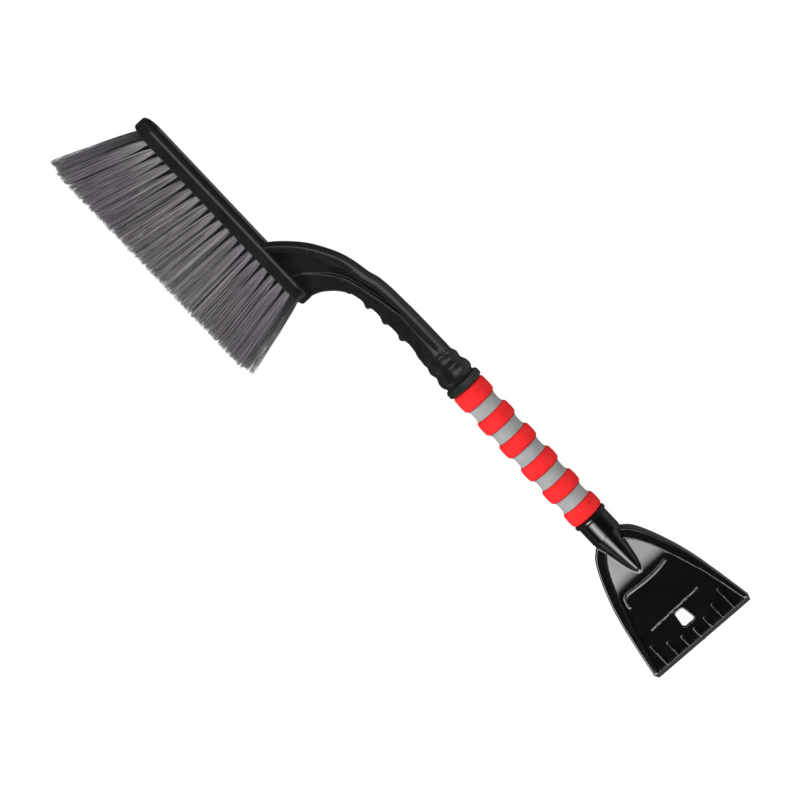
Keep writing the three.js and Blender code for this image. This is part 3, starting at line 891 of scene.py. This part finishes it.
def world():
    """White surroundings that light the tool. Glossy plastic mirrors them as dark overhead, and paler
    near the floor, most of all beyond the blade."""
    surroundings = bpy.data.worlds.new("studio")
    bpy.context.scene.world = surroundings
    surroundings.use_nodes = True
    nodes, links = surroundings.node_tree.nodes, surroundings.node_tree.links
    nodes.clear()
    output = nodes.new("ShaderNodeOutputWorld")
    mix = nodes.new("ShaderNodeMixShader")
    white = nodes.new("ShaderNodeBackground")
    white.inputs["Color"].default_value = (1, 1, 1, 1)
    white.inputs["Strength"].default_value = 0.9
    dark = nodes.new("ShaderNodeBackground")
    direction = nodes.new("ShaderNodeSeparateXYZ")
    links.new(nodes.new("ShaderNodeTexCoord").outputs["Generated"], direction.inputs["Vector"])
    by_height = ramp(nodes, links, direction.outputs["Z"],
                     (0.05, (1, 1, 1)), (0.3, (0.5, 0.5, 0.5)), (0.5, (0.01, 0.01, 0.012)))
    by_side = ramp(nodes, links, direction.outputs["X"],
                   (0.2, (0.25, 0.25, 0.26)), (0.6, (1, 1, 1)))
    product = nodes.new("ShaderNodeMix")
    product.data_type = "RGBA"
    product.blend_type = "MULTIPLY"
    product.inputs[0].default_value = 1
    links.new(by_height, product.inputs[6])
    links.new(by_side, product.inputs[7])
    links.new(product.outputs[2], dark.inputs["Color"])
    dark.inputs["Strength"].default_value = 1.0
    links.new(light_path(nodes, "Is Glossy Ray"), mix.inputs["Fac"])
    links.new(white.outputs["Background"], mix.inputs[1])
    links.new(dark.outputs["Background"], mix.inputs[2])
    links.new(mix.outputs["Shader"], output.inputs["Surface"])


def softbox(name, place, aim, width, height, power, lights):
    """An area light at one point that faces another, both in tool coordinates; its width runs along x.
    It gives only "highlights" or only "diffuse" light."""
    light = bpy.data.lights.new(name, "AREA")
    light.shape = "RECTANGLE"
    light.size, light.size_y = width, height
    light.energy = power
    obj = bpy.data.objects.new(name, light)
    obj.visible_diffuse = lights == "diffuse"
    obj.visible_glossy = lights == "highlights"
    bpy.context.scene.collection.objects.link(obj)
    back = (tool_point(*place) - tool_point(*aim)).normalized()
    side = (Vector((1, 0, 0)) - back * back.x).normalized()
    turn = Matrix((side, back.cross(side), back)).transposed()
    obj.matrix_world = Matrix.Translation(tool_point(*place)) @ turn.to_4x4()
    return obj


def overhead(name, x_span, y_span, radiance, lit, height=PANEL_HEIGHT):
    """A flat panel above the tool that only the given pieces mirror; its spans are in tool coordinates."""
    x, y = sum(x_span) / 2, sum(y_span) / 2
    length, width = (x_span[1] - x_span[0]) * MM, (y_span[1] - y_span[0]) * MM
    power = radiance * math.pi * length * width
    panel = softbox(name, (x, y, height), (x, y, 0), length, width, power, "highlights")
    receivers = bpy.data.collections.new(name + "_receivers")
    for obj in lit:
        receivers.objects.link(obj)
    panel.light_linking.receiver_collection = receivers


def mirrored_y(tilt):
    """The y at panel height that the camera sees mirrored in a surface tilted by that many degrees."""
    camera_tilt = 11.2  # how far off straight above the camera sees the scraper, in degrees
    return PANEL_HEIGHT * math.tan(math.radians(2 * tilt - camera_tilt))


def streak_panels(lit):
    """Stacked panels, each wider than the one below, so that the streak along the socket and spine
    fades out to both sides. The layers lie 1 mm apart, because panels at one height hide each other."""
    for layer, half_width in enumerate(STREAK_HALF_WIDTHS):
        near, far = mirrored_y(STREAK_TILT - half_width), mirrored_y(STREAK_TILT + half_width)
        height = PANEL_HEIGHT + layer
        overhead(f"over_socket_{layer}", SOCKET_MIRRORS, (near, far), 2.5, lit, height)
        overhead(f"beside_blade_{layer}", BLADE_MIRRORS, (near, min(far, BLADE_DARK_Y)), 2.5,
                 lit, height)
        spine_mirrors = (BLADE_MIRRORS[1] + 20 * layer, 2200)
        overhead(f"over_spine_{layer}", spine_mirrors, (near, far), 2.3, lit, height)


def camera():
    """A long lens almost straight above, turned so that the handle runs down to the right."""
    data = bpy.data.cameras.new("camera")
    data.lens = 150
    obj = bpy.data.objects.new("camera", data)
    bpy.context.scene.collection.objects.link(obj)
    bpy.context.scene.camera = obj
    back = Vector((-0.11, 0.21, 0.97)).normalized()
    up_hint = Vector((-0.728, 0.686, 0))
    right = (-back).cross(up_hint).normalized()
    up = right.cross(-back)
    turn = Matrix((right, up, back)).transposed()
    seen = 0.720  # the frame's width at the tool, in metres
    distance = seen / 2 / math.tan(math.atan(data.sensor_width / 2 / data.lens))
    target = tool_point(-112, -53, 0)
    obj.matrix_world = Matrix.Translation(target + back * distance) @ turn.to_4x4()
    data.clip_end = 50


floor()
world()
softbox("key", (-300, -1300, 1200), (-60, 0, 0), 1.2, 0.8, 21, "diffuse")
streak_panels([scraper_piece, stop_piece])
satin_pieces = [arm_piece, block_piece, collar_piece]
overhead("over_arm", (-1200, 0), (80, 4000), 2.1, satin_pieces)
overhead("over_neck", (0, 450), (80, 4000), 0.9, satin_pieces)
camera()
bpy.context.scene.view_settings.view_transform = "Standard"
